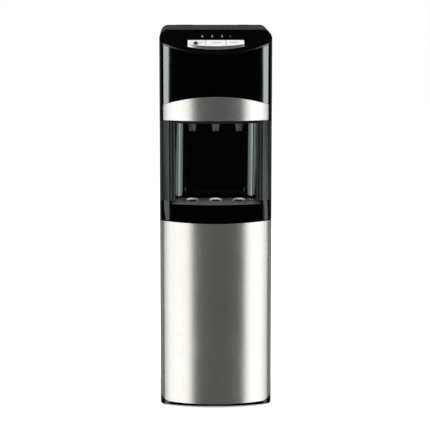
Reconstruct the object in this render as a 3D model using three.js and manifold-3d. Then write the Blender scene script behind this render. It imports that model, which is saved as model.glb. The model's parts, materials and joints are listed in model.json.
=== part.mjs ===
// A floor-standing water dispenser that takes its bottle at the bottom, behind a hinged door.
// Millimetres. X is to the viewer's right, Y is to the back, Z is up.
// The origin is on the floor, under the middle of the machine.

import * as THREE from 'three';
import { mergeVertices } from 'three/addons/utils/BufferGeometryUtils.js';
import Module from 'manifold-3d';

const wasm = await Module();
wasm.setup();

// ---- driving dimensions ----------------------------------------------------

const GAP = 0.3;
const HALF_WIDTH = 155;
const FRONT = -180;
const BACK = 180;
const HEIGHT = 1050;

const FRONT_RADIUS = 300;
const CORNER_RADIUS = 22;
const FRONT_CENTRE = FRONT + FRONT_RADIUS;
const CORNER_X = HALF_WIDTH - CORNER_RADIUS;
const CORNER_Y = FRONT_CENTRE - Math.sqrt((FRONT_RADIUS - CORNER_RADIUS) ** 2 - CORNER_X ** 2);
const CABINET = -97;
const SHEET = 1.5;
const PANEL_BACK = 178;
const WALL = 3;

const DECK_Z = 990;
const DECK_SLOPE = 0.7;
const DECK_ANGLE = Math.atan(DECK_SLOPE);
const DECK_THICK = 4;
const COVER_SKIRT = 1022;

const BAND_BOTTOM = 805.1;
const BAND_TOP = 872.1;
const BAND_SAG = 20.2;
const BAND_SAG_X = 132.6;
const BAND_HALF = 145.5;
const FASCIA_BOTTOM = 803.3;

const NICHE_HALF = 111.7;
const NICHE_BACK = -37;
const NICHE_FLOOR = 582.6;
const NICHE_TOP = 802.4;
const RIB_DEPTH = 12;

const COLLAR_TOP = 582.3;
const COLLAR_BOTTOM = 524.3;
const TRAY_TOP = 573.7;
const TRAY_FLOOR = 544.6;
const TRAY_HALF = 124;
const SLANT_BOTTOM = 564.5;
const SLANT_HEIGHT = 9.2;
const SLANT_INSET = 2.2;

const DOOR_TOP = 521.3;
const DOOR_BOTTOM = 9.5;
const DOOR_SLOPE = 0.1;
const DOOR_BACK = -100;
const DOOR_SKIN_BACK = -103;
const DOOR_CORNER = 27;
const DOOR_SAG = 1e-4;
const SKIN = 1;
const RIM = 4.3;
const HINGE = { x: -147, y: -114 };

const SHELF_LOW = 536;
const SHELF_HIGH = 799;
const TAP_SPACING = 65;
const TAP_Y = -110;
const DRAIN_Y = -101;
const KEY_HALF = 77.5;
const KEY_SPLIT = 27.5;
const KEY_FRONT = 14;
const KEY_BACK = -132;
const KEY_TOP_BACK = 1024;
const KEY_SLOPE = 0.466;
const LOCK_X = -55;
const LOCK_Y = -152;
const LOCK_DEPTH = 10;
const LOCK_STAND = 1;
const LENS_UP = 74.5;
const LENS_PITCH = 27;
const LENS_MIDDLE = -10;

const COMPRESSOR = { x: 48, y: 70 };
const HOT_TANK = { x: -85, y: 70 };
const DRAIN_Z = 640;
const COLD_TANK = { x: 0, y: 72 };
const PROBE = { x: 122, y: 118 };

// ---- looks -----------------------------------------------------------------

const look = (color, roughness, metalness) => () => (
  new THREE.MeshStandardMaterial({ color, roughness, metalness, flatShading: true })
);
const glossBlack = look(0x060607, 0.12, 0);
const satinBlack = look(0x0d0d0e, 0.4, 0);
const paintedSteel = look(0x101012, 0.35, 0.2);
const brushedSteel = look(0xb9b8b3, 0.3, 1);
const silver = look(0xdadad8, 0.3, 0.6);
const redPlastic = look(0x8d1a20, 0.35, 0);
const greenPlastic = look(0x1f7a3c, 0.35, 0);
const greyPlastic = look(0x4c4d50, 0.45, 0);
const clearPlastic = look(0xd6dbe0, 0.2, 0);
const rubber = look(0x151515, 0.85, 0);
const galvanised = look(0x9a9c9e, 0.45, 1);
const copper = look(0xb56a3f, 0.3, 1);
const foam = look(0xe8e6df, 0.9, 0);
const circuitGreen = look(0x1f5c38, 0.5, 0);
const hoseWhite = look(0xe9ebec, 0.5, 0);

// ---- solids ----------------------------------------------------------------

function toSolid(geometry) {
  const bare = geometry.clone();
  bare.deleteAttribute('normal');
  bare.deleteAttribute('uv');
  const welded = mergeVertices(bare, 1e-4);
  const points = welded.attributes.position.array;
  const corners = [];
  let volume = 0;
  for (let i = 0; i < welded.index.count; i += 3) {
    const [a, b, c] = [0, 1, 2].map((k) => welded.index.getX(i + k));
    if (a === b || b === c || c === a) continue;
    corners.push([a, b, c]);
    const [p, q, r] = [a, b, c].map((k) => new THREE.Vector3().fromArray(points, 3 * k));
    volume += p.dot(q.cross(r));
  }
  const triangles = volume < 0 ? corners.map(([a, b, c]) => [a, c, b]) : corners;
  return new wasm.Manifold(new wasm.Mesh({
    numProp: 3,
    vertProperties: new Float32Array(points),
    triVerts: new Uint32Array(triangles.flat()),
  }));
}

const union = (solids) => solids.reduce((whole, solid) => whole.add(solid));
const without = (solid, cuts) => cuts.reduce((rest, cut) => rest.subtract(cut), solid);

function box([x0, x1], [y0, y1], [z0, z1]) {
  const geometry = new THREE.BoxGeometry(x1 - x0, y1 - y0, z1 - z0);
  geometry.translate((x0 + x1) / 2, (y0 + y1) / 2, (z0 + z1) / 2);
  return toSolid(geometry);
}

// A flat outline, pushed along the normal of its own plane.
function pushed(outline, depth, place) {
  const shape = new THREE.Shape(outline.map(([u, v]) => new THREE.Vector2(u, v)));
  const geometry = new THREE.ExtrudeGeometry(shape, { depth, bevelEnabled: false });
  geometry.applyMatrix4(place);
  return toSolid(geometry);
}

// outline of [x, y] seen from above
function plan(outline, z0, z1) {
  return pushed(outline, z1 - z0, new THREE.Matrix4().makeTranslation(0, 0, z0));
}

// outline of [x, z] seen from the front
function front(outline, y0, y1) {
  const place = new THREE.Matrix4().makeBasis(
    new THREE.Vector3(1, 0, 0),
    new THREE.Vector3(0, 0, 1),
    new THREE.Vector3(0, -1, 0),
  );
  return pushed(outline, y1 - y0, place.setPosition(0, y1, 0));
}

// outline of [y, z] seen from the side
function side(outline, x0, x1) {
  const place = new THREE.Matrix4().makeBasis(
    new THREE.Vector3(0, 1, 0),
    new THREE.Vector3(0, 0, 1),
    new THREE.Vector3(1, 0, 0),
  );
  return pushed(outline, x1 - x0, place.setPosition(x0, 0, 0));
}

// a profile of [radius, height], turned about an axis through a point
function turned(profile, at, axis = [0, 0, 1], segments = 24) {
  const closed = [...profile, profile[0]];
  const geometry = new THREE.LatheGeometry(closed.map(([r, h]) => new THREE.Vector2(r, h)), segments);
  const turn = new THREE.Quaternion().setFromUnitVectors(
    new THREE.Vector3(0, 1, 0),
    new THREE.Vector3(...axis).normalize(),
  );
  geometry.applyQuaternion(turn);
  geometry.translate(...at);
  return toSolid(geometry);
}

const rod = (radius, length, at, axis, segments = 16) => (
  turned([[0, 0], [radius, 0], [radius, length], [0, length]], at, axis, segments)
);

function tube(points, radius, sides = 6, steps = 28) {
  const curve = Array.isArray(points)
    ? new THREE.CatmullRomCurve3(points.map((p) => new THREE.Vector3(...p)), false, 'centripetal')
    : points;
  const circle = [];
  for (let i = 0; i < sides; i += 1) {
    const angle = (i / sides) * 2 * Math.PI;
    circle.push(new THREE.Vector2(radius * Math.cos(angle), radius * Math.sin(angle)));
  }
  return toSolid(new THREE.ExtrudeGeometry(new THREE.Shape(circle), {
    steps,
    bevelEnabled: false,
    extrudePath: curve,
  }));
}

// ---- the plan outline that every front piece shares ------------------------

const arc = (cx, cy, radius, from, to, count) => (
  Array.from({ length: count + 1 }, (_, i) => {
    const angle = from + ((to - from) * i) / count;
    return [cx + radius * Math.cos(angle), cy + radius * Math.sin(angle)];
  })
);

// From the right side round the bowed front to the left side, drawn in by an inset.
function bowedFront(inset) {
  const meet = Math.atan2(CORNER_Y - FRONT_CENTRE, CORNER_X);
  return [
    ...arc(CORNER_X, CORNER_Y, CORNER_RADIUS - inset, 0, meet, 5),
    ...arc(0, FRONT_CENTRE, FRONT_RADIUS - inset, meet, -Math.PI - meet, 18).slice(1, -1),
    ...arc(-CORNER_X, CORNER_Y, CORNER_RADIUS - inset, -Math.PI - meet, -Math.PI, 5),
  ];
}

const frontY = (x, inset) => FRONT_CENTRE - Math.sqrt((FRONT_RADIUS - inset) ** 2 - x * x);

function frontSolid(inset, back, z0, z1) {
  const edge = HALF_WIDTH - inset;
  return plan([...bowedFront(inset), [-edge, back], [edge, back]], z0, z1);
}

function frontShell(outer, inner, back, z0, z1) {
  return frontSolid(outer, back, z0, z1).subtract(frontSolid(inner, back + 50, z0 - 1, z1 + 1));
}

// everything outside an inset of the front, for cutting a shallow step in it
function outsideOf(inset, z0, z1) {
  return box([-200, 200], [-260, CABINET + 5], [z0, z1])
    .subtract(frontSolid(inset, 60, z0 - 1, z1 + 1));
}

// everything below a plane that rises to the back from height z at the front
function below(z, slope) {
  const height = (y) => z + slope * (y - FRONT);
  return side([[-300, -200], [300, -200], [300, height(300)], [-300, height(-300)]], -220, 220);
}

const deckZ = (y, lift = 0) => DECK_Z + DECK_SLOPE * (y - FRONT) + lift;

// From the deck's own frame (x, up the slope from its front edge, out of its face) to the machine's.
function onDeck(solid) {
  return solid.rotate([THREE.MathUtils.radToDeg(DECK_ANGLE), 0, 0]).translate([0, FRONT, DECK_Z]);
}

// ---- base, feet and cabinet ------------------------------------------------

function makeBase() {
  const x = HALF_WIDTH - SHEET - GAP;
  return without(box([-x, x], [CABINET, 176.2], [8, 20]), [
    box([-151.6, 151.6], [-93, 148.3], [11, 21]),
    box([-x - 1, -139.7], [CABINET - 1, -71.7], [7, 10.6]),
  ]);
}

function makeFeet() {
  const profile = [[0, 0], [13, 0], [15, 2], [15, 7.7], [0, 7.7]];
  const spots = {
    front_left: [-125, -70], front_right: [125, -70], rear_left: [-125, 150], rear_right: [125, 150],
  };
  return Object.entries(spots).map(([name, [x, y]]) => (
    [`foot_${name}`, turned(profile, [x, y, 0], [0, 0, 1], 16), rubber]
  ));
}

function makeSidePanel(sign) {
  const outer = HALF_WIDTH;
  const inner = outer - SHEET;
  const flange = 140;
  const outline = [
    [142, CABINET], [outer, CABINET], [outer, PANEL_BACK], [flange, PANEL_BACK], [flange, PANEL_BACK - SHEET],
    [inner, PANEL_BACK - SHEET], [inner, CABINET + SHEET], [142, CABINET + SHEET],
  ];
  const sheet = plan(outline.map(([x, y]) => [sign * x, y]), 8.3, COVER_SKIRT - GAP);
  const foot = box([-172, 172], [CABINET - 1, CABINET + SHEET + 0.1], [0, 20.3]);
  return sheet.subtract(foot);
}

function makeLowerRearPanel() {
  const half = HALF_WIDTH - SHEET - GAP;
  const sheet = box([-half, half], [149, 150.5], [20.3, SHELF_LOW - GAP]);
  const returns = [-1, 1].map((sign) => {
    const xs = [sign * half, sign * (half - 1.2)].sort((a, b) => a - b);
    return box(xs, [150, 176.2], [20.3, SHELF_LOW - GAP]);
  });
  return union([sheet, ...returns]);
}

function makeUpperRearPanel() {
  const vents = [];
  for (let row = 0; row < 9; row += 1) {
    for (const x of [-95, 0]) {
      vents.push(box([x - 35, x + 35], [170, 180], [580 + 18 * row, 585 + 18 * row]));
    }
  }
  const switches = [105, 133].map((x) => box([x - 7.2, x + 7.2], [170, 180], [939.4, 960.6]));
  const drain = rod(9, 20, [HOT_TANK.x, 168, DRAIN_Z], [0, 1, 0]);
  const sheet = box([-152, 152], [174.8, 176.2], [SHELF_LOW, COVER_SKIRT - GAP]);
  const gland = turned([[5, 0], [11, 0], [11, 2.5], [8, 3.5], [5, 3.5]], [110, 176, 570], [0, 1, 0]);
  const glandHole = rod(5, 10, [110, 170, 570], [0, 1, 0], 24);
  return union([without(sheet, [...vents, ...switches, drain, glandHole]), gland]);
}

function makeCondenser() {
  const runs = 9;
  const pitch = 48;
  const half = 112;
  const bend = 26;
  const top = 490;
  const bottom = top - (runs - 1) * pitch;
  const point = (x, z) => new THREE.Vector3(x, 165, z);
  const path = new THREE.CurvePath();
  path.add(new THREE.LineCurve3(point(135, 519), point(135, 512)));
  path.add(new THREE.CubicBezierCurve3(point(135, 512), point(135, 496), point(128, top), point(half, top)));
  for (let i = 0; i < runs; i += 1) {
    const sign = i % 2 ? -1 : 1;
    const z = top - i * pitch;
    path.add(new THREE.LineCurve3(point(sign * half, z), point(-sign * half, z)));
    if (i < runs - 1) {
      path.add(new THREE.CubicBezierCurve3(
        point(-sign * half, z),
        point(-sign * (half + bend), z),
        point(-sign * (half + bend), z - pitch),
        point(-sign * half, z - pitch),
      ));
    }
  }
  path.add(new THREE.CubicBezierCurve3(
    point(-half, bottom), point(-132, bottom), point(-140, bottom + 8), point(-140, bottom + 28),
  ));
  path.add(new THREE.LineCurve3(point(-140, bottom + 28), point(-140, 520)));
  return tube(path, 2.6, 5, 150);
}

function makeBay() {
  const outer = box([-151.3, 151.3], [-92.7, 148], [11.3, SHELF_LOW - GAP]);
  return without(outer, [
    box([-148.5, 148.5], [-100, 145], [14.3, 600]),
    rod(34, 6, [0, 8, 10], [0, 0, 1], 24),
  ]);
}

function makeLowerShelf() {
  const holes = [[122, 118, 5], [135, 163, 4], [-140, 163, 4]].map(([x, y, r]) => (
    rod(r, 10, [x, y, SHELF_LOW - 4], [0, 0, 1])
  ));
  return without(box([-151, 151], [-95.2, 174.5], [SHELF_LOW, SHELF_LOW + WALL]), holes);
}

function makeUpperShelf() {
  const holes = [[98, 20, 5], [-120, 150, 3], [-95, 5, 5.5]].map(([x, y, r]) => (
    rod(r, 10, [x, y, SHELF_HIGH - 4], [0, 0, 1])
  ));
  return without(box([-151, 151], [-16, 174.5], [SHELF_HIGH, SHELF_HIGH + 2]), holes);
}

// ---- top cover, keys and board ---------------------------------------------

function coverOutline(inset) {
  const edge = HALF_WIDTH - inset;
  const round = 6;
  return [
    ...bowedFront(inset),
    ...arc(-edge + round, BACK - inset - round, round, Math.PI, Math.PI / 2, 4),
    ...arc(edge - round, BACK - inset - round, round, Math.PI / 2, 0, 4),
  ];
}

// an outline of [x, z] on the right side, carried over to the left
const mirrored = (points) => [...points, ...points.map(([x, z]) => [-x, z]).reverse()];

function makeCover() {
  const cheek = [[155, 900], [155, 1030], [153.5, 1036], [149.5, 1042], [144, 1047], [137, HEIGHT]];
  const cheekInside = [[152, 990], [152, 1029], [150.5, 1034.5], [147, 1040], [142, 1044], [136, 1047]];
  const flat = (HEIGHT - DECK_Z) / DECK_SLOPE + FRONT;
  const skirtStart = (COVER_SKIRT + DECK_THICK - DECK_Z) / DECK_SLOPE + FRONT;
  const kept = side([
    [-190, deckZ(-190, -DECK_THICK)], [skirtStart, COVER_SKIRT],
    [190, COVER_SKIRT], [190, 1060], [-190, 1060],
  ], -200, 200);
  const hollow = plan(coverOutline(WALL), 1000, 1049).intersect(side([
    [-140, 1000], [-140, deckZ(-140, -DECK_THICK)], [flat, HEIGHT - DECK_THICK],
    [190, HEIGHT - DECK_THICK], [190, 1000],
  ], -200, 200));
  const inner = front(mirrored(cheekInside), -190, 190);
  const shell = plan(coverOutline(0), 985, HEIGHT)
    .intersect(front(mirrored(cheek), -190, 190))
    .intersect(below(DECK_Z, DECK_SLOPE))
    .intersect(kept)
    .subtract(hollow.intersect(inner));
  const keyHole = frontSolid(KEY_FRONT - 0.4, CABINET, 960, 1060)
    .intersect(box([-KEY_HALF - 0.5, KEY_HALF + 0.5], [-190, KEY_BACK + 0.4], [960, 1060]));
  const lenses = [-1, 0, 1].map((i) => onDeck(rod(2.9, 12, [lensX(i), LENS_UP, -8], [0, 0, 1])));
  const bosses = [[-88, 22], [88, 22], [-88, 92], [88, 92]].map(([x, s]) => (
    onDeck(rod(3.5, 22.4, [x, s, -25.4], [0, 0, 1], 12))
  ));
  const pads = [[-85, 24], [84, 14]].map(([x, half]) => (
    box([x - half, x + half], [150, 172], [HEIGHT - 1, HEIGHT + 0.8])
  ));
  return without(union([shell, ...pads, ...bosses]), [keyHole, ...lenses]);
}

const lensX = (i) => LENS_MIDDLE + LENS_PITCH * i;

const keyTop = (y) => KEY_TOP_BACK + KEY_SLOPE * (y - KEY_BACK);

function makeKeys() {
  const section = side([
    [-178, keyTop(-178)], [KEY_BACK, KEY_TOP_BACK],
    [KEY_BACK, deckZ(KEY_BACK, -11)], [-178, deckZ(-178, -11)],
  ], -KEY_HALF, KEY_HALF);
  const strip = section.intersect(frontSolid(KEY_FRONT, -100, 950, 1060));
  const spans = { hot: [-KEY_HALF, -KEY_SPLIT], room: [-KEY_SPLIT, KEY_SPLIT], cold: [KEY_SPLIT, KEY_HALF] };
  const lockHole = rod(6.5, 60, alongLock(-30), lockAxis());
  return Object.entries(spans).map(([name, [x0, x1]]) => {
    const key = strip.intersect(box([x0 + GAP, x1 - GAP], [-190, -100], [950, 1060]));
    return [`key_${name}`, name === 'hot' ? key.subtract(lockHole) : key, silver];
  });
}

function lockAxis() {
  const angle = Math.atan(KEY_SLOPE);
  return [0, -Math.sin(angle), Math.cos(angle)];
}

// a point on the lock button's axis, a distance out of the key's face
function alongLock(out) {
  const [, dy, dz] = lockAxis();
  return [LOCK_X, LOCK_Y + out * dy, keyTop(LOCK_Y) + out * dz];
}

function makeLockButton() {
  const radius = 6;
  const shoulder = LOCK_DEPTH + LOCK_STAND;
  const dome = arc(0, shoulder, radius, 0, Math.PI / 2, 5);
  return turned([[0, 0], [radius, 0], ...dome], alongLock(-LOCK_DEPTH), lockAxis());
}

function makeLenses() {
  const names = ['hot', 'room', 'cold'];
  return names.map((name, i) => (
    [`lens_${name}`, onDeck(rod(2.6, 7.9, [lensX(i - 1), LENS_UP, -8], [0, 0, 1])), clearPlastic]
  ));
}

function makeBoard() {
  return onDeck(box([-95, 95], [14, 100], [-27.3, -25.7]));
}

function makeSwitches() {
  const names = { hot: -30, room: 0, cold: 52 };
  return Object.entries(names).map(([name, x]) => {
    const body = box([x - 8, x + 8], [36, 46], [-25.4, -18]);
    const plunger = rod(1.6, 6.6, [x, 40, -18.5], [0, 0, 1], 8);
    return [`microswitch_${name}`, onDeck(body.add(plunger)), satinBlack];
  });
}

// ---- front panel, steel band and dispensing niche --------------------------

function bandOutline(grow) {
  const top = [];
  const half = BAND_HALF + grow;
  for (let i = 0; i <= 16; i += 1) {
    const x = half - (2 * half * i) / 16;
    top.push([x, BAND_TOP + grow - BAND_SAG * (x / BAND_SAG_X) ** 2]);
  }
  return [[-half, BAND_BOTTOM - grow], [half, BAND_BOTTOM - grow], ...top];
}

function makeFascia() {
  const shell = frontShell(0, WALL, CABINET - GAP, FASCIA_BOTTOM, COVER_SKIRT - GAP);
  const lugs = [-1, 1].map((sign) => {
    const xs = [sign * 136, sign * 152.4].sort((a, b) => a - b);
    return box(xs, [CABINET - 2.6, CABINET - GAP], [FASCIA_BOTTOM, 1010]);
  });
  const recess = outsideOf(SKIN + GAP, 780, 900).intersect(front(bandOutline(GAP), -200, -110));
  return union([shell, ...lugs])
    .intersect(below(DECK_Z - DECK_THICK - GAP, DECK_SLOPE))
    .subtract(recess);
}

function makeBand() {
  return frontShell(0, SKIN, CABINET, 790, 890).intersect(front(bandOutline(0), -200, -110));
}

function makeSurround() {
  const top = NICHE_TOP;
  const shell = frontShell(0, WALL, CABINET - GAP, NICHE_FLOOR, top);
  const thick = frontShell(0, RIB_DEPTH, CABINET - GAP, NICHE_FLOOR, top)
    .intersect(box([-131, 131], [-190, -100], [NICHE_FLOOR, top]));
  const opening = box([-NICHE_HALF - 0.6, NICHE_HALF + 0.6], [-190, -100], [500, top - 5]);
  const grooves = [-1, 1].flatMap((sign) => [118.8, 127].map((x) => {
    const xs = [sign * (x - 1.5), sign * (x + 1.5)].sort((a, b) => a - b);
    return outsideOf(4, 500, 850).intersect(box(xs, [-200, -100], [500, 850]));
  }));
  const bar = box([-NICHE_HALF - 2, NICHE_HALF + 2], [-190, -100], [top - 6, top + 1]);
  const trim = outsideOf(5, top - 6, top + 1).intersect(bar);
  return without(shell.add(thick), [opening, ...grooves, trim]);
}

// the niche wall from the opening's edge round to the flat back, on the right side
function nicheCurve(grow, count) {
  const curve = new THREE.CubicBezierCurve(
    new THREE.Vector2(NICHE_HALF + grow, -148),
    new THREE.Vector2(110 + grow, -85),
    new THREE.Vector2(107 + grow, NICHE_BACK + grow),
    new THREE.Vector2(62, NICHE_BACK + grow),
  );
  return curve.getPoints(count).map(({ x, y }) => [x, y]);
}

function makeLiner() {
  const half = (grow) => nicheCurve(grow, 12);
  const mirror = (points) => points.map(([x, y]) => [-x, y]).reverse();
  const outer = [...half(2.5), ...mirror(half(2.5))];
  const inner = [...half(0), ...mirror(half(0))];
  const room = plan(inner, NICHE_FLOOR - 1, NICHE_TOP - 2.8);
  const opening = box([-NICHE_HALF, NICHE_HALF], [-200, -140], [500, NICHE_TOP - 2.8]);
  const walls = plan(outer, NICHE_FLOOR, NICHE_TOP).subtract(frontBlock(RIB_DEPTH + GAP));
  const flange = frontShell(RIB_DEPTH + GAP, RIB_DEPTH + 2.5, -100, NICHE_FLOOR, NICHE_TOP)
    .intersect(box([-128, 128], [-200, -100], [500, 900]));
  const holes = [-1, 0, 1].map((i) => rod(9.3, 20, [i * TAP_SPACING, TAP_Y, NICHE_TOP - 10], [0, 0, 1], 20));
  return without(walls.add(flange), [room, opening, ...holes]);
}

// the space in front of an inset of the front
function frontBlock(inset) {
  return outsideOf(inset, 400, 900);
}

function makeTaps() {
  const profile = [[4, 771], [8.5, 771], [13, 799.2], [9, 799.2], [9, 806], [4, 806]];
  return ['hot', 'room', 'cold'].map((name, i) => {
    const x = (i - 1) * TAP_SPACING;
    const mouth = box([x - 4, x + 4], [TAP_Y - 20, TAP_Y], [760, 778]);
    return [`tap_${name}`, turned(profile, [x, TAP_Y, 0], [0, 0, 1], 20).subtract(mouth), satinBlack];
  });
}

// ---- collar, drip tray and grille ------------------------------------------

// the front drawn in evenly from one height to another, for a slanted top edge
function slantedFront(z0, z1, inset) {
  const edge = bowedFront(0).map(([x, y]) => [x, y - FRONT_CENTRE]);
  const outline = [...edge, [-HALF_WIDTH, 0], [HALF_WIDTH, 0]].reverse();
  const scale = (FRONT_RADIUS - inset) / FRONT_RADIUS;
  return wasm.Manifold.extrude([outline], z1 - z0, 0, 0, [scale, scale])
    .translate([0, FRONT_CENTRE, z0]);
}

// cuts the front edge of a piece back above the top of the tray's slant
function slantTop(solid) {
  const allFront = box([-200, 200], [-260, CABINET], [SLANT_BOTTOM, SLANT_BOTTOM + SLANT_HEIGHT + 20]);
  const kept = slantedFront(SLANT_BOTTOM, SLANT_BOTTOM + 2 * SLANT_HEIGHT, 2 * SLANT_INSET);
  return solid.subtract(allFront.subtract(kept));
}

function trayOutline(grow, frontInset) {
  const bow = [];
  const half = TRAY_HALF + grow;
  for (let i = 0; i <= 14; i += 1) {
    const x = half - (2 * half * i) / 14;
    bow.push([x, frontY(x, frontInset)]);
  }
  const sideRun = [[-118, -70], [-112, -50], [-102, -42], [102, -42], [112, -50], [118, -70]];
  const rear = sideRun.map(([x, y]) => [x + Math.sign(x) * grow, y + (y > -60 ? grow : 0)]);
  return [...bow, ...rear];
}

function makeCollar() {
  const shell = frontShell(0, WALL, CABINET - GAP, 500, COLLAR_TOP);
  const floor = union([
    frontSolid(2.9, CABINET - GAP, 541.3, 544.3),
    box([-140, 140], [-98, -34], [541.3, 544.3]),
  ]);
  const deck = union([
    frontSolid(2.9, CABINET - GAP, 570.7, TRAY_TOP),
    box([-140, 140], [-98, -34], [570.7, TRAY_TOP]),
  ]);
  const walls = [
    box([-140, -137], [-97.4, -34], [541.3, TRAY_TOP]),
    box([137, 140], [-97.4, -34], [541.3, TRAY_TOP]),
    box([-140, 140], [-37, -34], [541.3, TRAY_TOP]),
  ];
  const upstand = plan(trayOutline(4, RIB_DEPTH), 573, COLLAR_TOP)
    .subtract(box([-200, 200], [-200, -136], [560, 600]));
  const channel = plan(trayOutline(0.6, -5), TRAY_FLOOR - 0.2, 600);
  const mouth = outsideOf(WALL + GAP, 530, 600)
    .intersect(box([-TRAY_HALF - 1.3, TRAY_HALF + 1.3], [-200, -134], [530, 600]));
  const bracket = box([-151.9, -140.7], [-125.5, CABINET], [500, 561]);
  return without(union([shell, floor, deck, ...walls, upstand]), [
    channel, mouth, bracket, below(COLLAR_BOTTOM, DOOR_SLOPE),
  ]);
}

function makeTray() {
  const outer = plan(trayOutline(0, 2.5), TRAY_FLOOR, TRAY_TOP - 3.1);
  const inner = plan(trayOutline(-2, 5), TRAY_FLOOR + 2, 600);
  const face = frontShell(0, WALL, -100, 530.3, TRAY_TOP)
    .intersect(box([-TRAY_HALF - 1, TRAY_HALF + 1], [-200, -110], [520, 600]));
  return slantTop(outer.subtract(inner).add(face));
}

// a rim round a drain hole that rises from nothing at the front to its full height at the back
function splashRim(x, y, r) {
  const outer = r + 2.4;
  const rise = 0.45 * r;
  const wedge = side([
    [y - outer, TRAY_TOP - 2], [y + outer, TRAY_TOP - 2], [y + outer, TRAY_TOP + rise], [y - outer, TRAY_TOP],
  ], x - outer - 1, x + outer + 1);
  return rod(outer, rise + 4, [x, y, TRAY_TOP - 2], [0, 0, 1], 24).intersect(wedge);
}

function makeGrille() {
  const plate = plan(trayOutline(-0.4, WALL + GAP), TRAY_TOP - 2.8, TRAY_TOP + 0.2);
  const lip = plan(trayOutline(-2.5, 5.5), TRAY_TOP - 6, TRAY_TOP - 2.7)
    .subtract(plan(trayOutline(-4.5, 7.5), TRAY_TOP - 7, TRAY_TOP - 2.8));
  const drains = [[-TAP_SPACING, DRAIN_Y, 15], [0, DRAIN_Y, 15], [TAP_SPACING, DRAIN_Y, 15], [97, -96, 6.5]];
  const rims = drains.map(([x, y, r]) => splashRim(x, y, r));
  const holes = drains.map(([x, y, r]) => rod(r, 40, [x, y, TRAY_TOP - 10], [0, 0, 1], 24));
  return without(union([plate, lip, ...rims]), holes);
}

// ---- door ------------------------------------------------------------------

function skinOutline(grow) {
  const bottom = [];
  for (let i = -28; i <= 28; i += 1) {
    const x = (HALF_WIDTH * i) / 28;
    const past = Math.max(0, Math.abs(x) - (HALF_WIDTH - DOOR_CORNER));
    const round = DOOR_CORNER - Math.sqrt(DOOR_CORNER ** 2 - past ** 2);
    bottom.push([x, DOOR_BOTTOM + DOOR_SAG * x * x + round - grow]);
  }
  const last = bottom[56][1];
  return [[-160, last], ...bottom, [160, last], [160, 560], [-160, 560]];
}

function fingerNotch() {
  return box([145.5, 160], [-112, -90], [380, 480]);
}

function hingeNotch() {
  return box([-160, -140.4], [-124.5, -90], [0, 13.3]);
}

function makeDoorSkin() {
  return frontShell(0, SKIN, DOOR_SKIN_BACK, 0, 560)
    .intersect(front(skinOutline(0), -200, -90))
    .intersect(below(DOOR_TOP, DOOR_SLOPE))
    .subtract(fingerNotch());
}

function makeDoorFrame() {
  const corner = 4;
  const low = 2.5;
  const arch = 5;
  const outline = [
    ...arc(-HALF_WIDTH + corner, low + corner, corner, -Math.PI, -Math.PI / 2, 5),
    [0, arch],
    ...arc(HALF_WIDTH - corner, low + corner, corner, -Math.PI / 2, 0, 5),
    [HALF_WIDTH, 560], [-HALF_WIDTH, 560],
  ];
  const body = frontSolid(0, DOOR_BACK, 0, 560)
    .intersect(front(outline, -200, -90))
    .intersect(below(DOOR_TOP, DOOR_SLOPE));
  const recess = outsideOf(SKIN + GAP, -10, 570)
    .intersect(front(skinOutline(GAP), -200, -90))
    .intersect(box([-200, 200], [-260, DOOR_SKIN_BACK + GAP], [-10, 570]));
  const hollow = frontSolid(RIM, -50, 15, 517);
  const ledge = frontSolid(RIM, -50, DOOR_TOP, 560);
  const bosses = [
    rod(7, 12, [HINGE.x, HINGE.y, 14.5], [0, 0, 1], 18),
    rod(7, 12, [HINGE.x, HINGE.y, 506], [0, 0, 1], 18),
  ];
  const ribs = [140, 265, 390].map((z) => (
    frontShell(4, 12, DOOR_BACK, z, z + 3).intersect(box([-140, 140], [-200, -100], [0, 560]))
  ));
  const pins = [
    rod(3.4, 12, [HINGE.x, HINGE.y, 13], [0, 0, 1], 16),
    rod(3.4, 24, [HINGE.x, HINGE.y, 511], [0, 0, 1], 16),
  ];
  const keep = frontSolid(2, DOOR_BACK, 0, 560);
  return without(union([body.subtract(hollow), ...bosses.map((b) => b.intersect(keep)), ...ribs]), [
    recess, ledge, ...pins, fingerNotch(), hingeNotch(),
  ]);
}

function bracketPlan(back) {
  return [
    ...arc(HINGE.x, HINGE.y, 4.8, -Math.PI, 0, 8),
    [HINGE.x + 4.8, back], [HINGE.x - 4.8, back],
  ];
}

function makeLowerHinge() {
  return plan(bracketPlan(-72), 8.3, 10.3).add(rod(3, 13, [HINGE.x, HINGE.y, 10], [0, 0, 1], 16));
}

function makeUpperHinge() {
  const plate = plan(bracketPlan(CABINET - GAP), 531.3, 533.3);
  const upstand = box([HINGE.x - 4.6, HINGE.x + 4.6], [CABINET - 2.3, CABINET - GAP], [532, 560]);
  return union([plate, upstand, rod(3, 19, [HINGE.x, HINGE.y, 513], [0, 0, 1], 16)]);
}

// ---- water and cooling parts inside ----------------------------------------

function makeCompressor() {
  const { x, y } = COMPRESSOR;
  const shell = turned([
    [0, 551], [36, 552], [48, 558], [53, 570], [54, 598], [56, 600], [56, 604], [54, 606],
    [52, 645], [41, 668], [20, 679], [0, 682],
  ], [x, y, 0], [0, 0, 1], 20);
  const plate = box([x - 60, x + 60], [y - 44, y + 44], [549, 552]);
  const legs = [[-50, -36], [50, -36], [-50, 36], [50, 36]].map(([dx, dy]) => (
    rod(8, 11, [x + dx, y + dy, SHELF_LOW + WALL + GAP], [0, 0, 1], 12)
  ));
  return union([shell, plate, ...legs]);
}

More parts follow.
